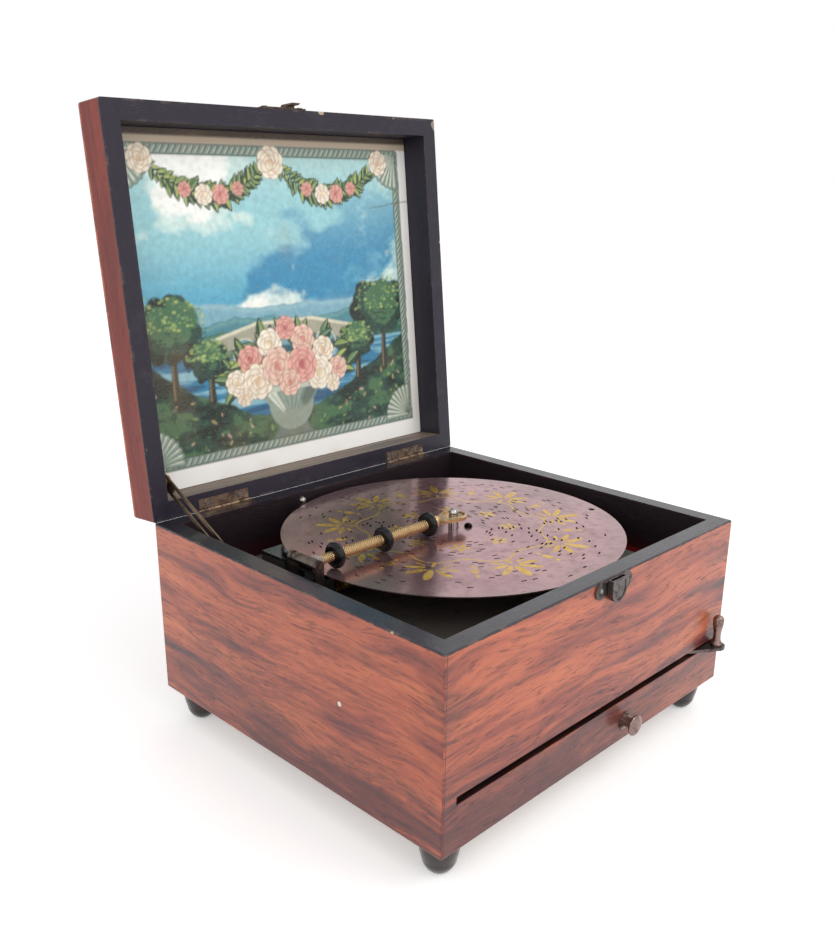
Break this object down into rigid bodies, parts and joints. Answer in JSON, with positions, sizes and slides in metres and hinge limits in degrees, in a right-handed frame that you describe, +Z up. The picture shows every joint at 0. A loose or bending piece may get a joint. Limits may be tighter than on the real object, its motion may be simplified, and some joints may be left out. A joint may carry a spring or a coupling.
{
  "type": "disc music box",
  "caption": "Wooden table music box with a hinged lid, a punched steel tune disc on a spindle, a roller arm that holds it down, a comb, and a spring motor wound by a lever.",
  "frame": {"origin": "on the table, midway between the four feet", "axes": "+Z up, +X to the right seen from the front, the front face with the latch and slot looks along -Y"},
  "size_m": [0.26, 0.2982, 0.3707],
  "materials": {
    "wood_case": "satin",
    "wood_lid": "satin",
    "wood_plain": "matte",
    "black_foot": "gloss",
    "print": "satin",
    "aged_brass": "worn",
    "brass": "satin",
    "dark_iron": "dark",
    "bronze": "dull",
    "bedplate": "painted",
    "steel": "satin",
    "blue_steel": "satin",
    "lead": "dull",
    "disc_steel": "mottled",
    "black_gloss": "gloss"
  },
  "bodies": {
    "case": {"front_board": "wood_case", "back_board": "wood_case", "left_board": "wood_case", "right_board": "wood_case", "floor_board": "wood_plain", "feet": "black_foot", "case_hinge_leaves": "aged_brass", "hinge_pins": "steel", "case_wood_screws": "steel", "latch_plate": "dark_iron", "stay_stud": "aged_brass", "bedplate": "bedplate", "bed_supports": "wood_plain", "pillars": "brass", "motor_plate": "brass", "machine_screws": "steel", "comb": "blue_steel", "comb_base": "bedplate", "comb_weights": "lead", "star_bracket": "steel", "centre_post": "steel", "worm_brackets": "brass", "start_rosette": "bronze", "arm_bracket": "steel", "arm_pin": "steel", "guide_post": "steel"},
    "lid": {"lid_front_rail": "wood_lid", "lid_hinge_rail": "wood_lid", "lid_side_rails": "wood_lid", "lid_top_panel": "wood_lid", "lid_print": "print", "lid_hinge_leaves": "aged_brass", "lid_wood_screws": "steel", "lid_catch": "dark_iron", "stay_pivot_screw": "aged_brass"},
    "stay": {"stay_bar": "aged_brass"},
    "latch": {"latch_slide": "dark_iron"},
    "turntable": {"drive_hub": "brass", "main_wheel": "brass", "disc": "disc_steel"},
    "barrel": {"barrel_drum": "brass", "great_wheel": "brass", "mainspring": "blue_steel"},
    "winder": {"winding_arbor": "steel"},
    "lever": {"winding_lever": "dark_iron", "lever_handle": "bronze"},
    "pawl": {"lever_pawl": "steel"},
    "click": {"holding_click": "steel"},
    "governor": {"governor_arbor": "steel", "worm_wheel": "brass"},
    "fly": {"worm_shaft": "steel", "fly": "brass"},
    "stars": {"star_wheels": "brass"},
    "start": {"start_knob": "bronze"},
    "arm": {"arm_rod": "steel", "arm_sleeves": "brass", "spindle_latch": "brass"},
    "outer_roller": {"roller_outer": "black_gloss"},
    "middle_roller": {"roller_middle": "black_gloss"},
    "inner_roller": {"roller_inner": "black_gloss"}
  },
  "joints": [
    {"name": "lid_hinge", "type": "hinge", "parent": "case", "child": "lid", "pos_m": [0, 0.1195, 0.129], "axis": [1, 0, 0], "range_deg": [0, 95.5]},
    {"name": "stay_pivot", "type": "hinge", "parent": "lid", "child": "stay", "pos_m": [-0.1155, 0.128, 0.1506], "axis": [1, 0, 0], "range_deg": [-96.48, 1]},
    {"name": "latch_slide", "type": "slide", "parent": "case", "child": "latch", "axis": [1, 0, 0], "range_m": [0, 0.002], "stiffness_N_per_m": 150},
    {"name": "disc_spin", "type": "hinge", "parent": "case", "child": "turntable", "pos_m": [0.0015, -0.0025, 0.1252], "axis": [0, 0, 1], "continuous": true},
    {"name": "barrel_spin", "type": "hinge", "parent": "case", "child": "barrel", "pos_m": [0.0015, -0.0475, 0.076], "axis": [0, 0, 1], "continuous": true},
    {"name": "governor_spin", "type": "hinge", "parent": "case", "child": "governor", "pos_m": [0.02243, 0.01843, 0.08], "axis": [0, 0, 1], "continuous": true},
    {"name": "fly_spin", "type": "hinge", "parent": "case", "child": "fly", "pos_m": [0.02243, 0.02983, 0.0808], "axis": [1, 0, 0], "continuous": true},
    {"name": "lever_swing", "type": "hinge", "parent": "case", "child": "lever", "pos_m": [0.0015, -0.0475, 0.0489], "axis": [0, 0, 1], "range_deg": [-112.6, 0]},
    {"name": "winder_turn", "type": "hinge", "parent": "case", "child": "winder", "pos_m": [0.0015, -0.0475, 0.06], "axis": [0, 0, 1], "range_deg": [-113, 0.5]},
    {"name": "pawl_pivot", "type": "hinge", "parent": "lever", "child": "pawl", "pos_m": [0.01862, -0.05574, 0.051], "axis": [0, 0, 1], "range_deg": [0, 12], "stiffness_Nm_per_rad": 0.01},
    {"name": "click_pivot", "type": "hinge", "parent": "case", "child": "click", "pos_m": [-0.0018, -0.02879, 0.051], "axis": [0, 0, 1], "range_deg": [0, 12], "stiffness_Nm_per_rad": 0.01},
    {"name": "star_spin", "type": "hinge", "parent": "case", "child": "stars", "pos_m": [-0.0571, -0.0025, 0.1184], "axis": [1, 0, 0], "continuous": true},
    {"name": "start_slide", "type": "slide", "parent": "case", "child": "start", "axis": [0, 1, 0], "range_m": [0, 0.004]},
    {"name": "arm_lift", "type": "hinge", "parent": "case", "child": "arm", "pos_m": [-0.1095, -0.0025, 0.1332], "axis": [0, 1, 0], "range_deg": [-100, 0]},
    {"name": "outer_roller_spin", "type": "hinge", "parent": "arm", "child": "outer_roller", "pos_m": [-0.0928, -0.0025, 0.1332], "axis": [1, 0, 0], "continuous": true},
    {"name": "middle_roller_spin", "type": "hinge", "parent": "arm", "child": "middle_roller", "pos_m": [-0.0568, -0.0025, 0.1332], "axis": [1, 0, 0], "continuous": true},
    {"name": "inner_roller_spin", "type": "hinge", "parent": "arm", "child": "inner_roller", "pos_m": [-0.0209, -0.0025, 0.1332], "axis": [1, 0, 0], "continuous": true}
  ],
  "couplings": [
    {"joint": "stay_pivot", "follows": "lid_hinge", "ratio": -0.9998},
    {"joint": "barrel_spin", "follows": "disc_spin", "ratio": -0.36364},
    {"joint": "governor_spin", "follows": "disc_spin", "ratio": -6.4},
    {"joint": "fly_spin", "follows": "disc_spin", "ratio": -192},
    {"joint": "winder_turn", "follows": "lever_swing", "ratio": 1}
  ]
}
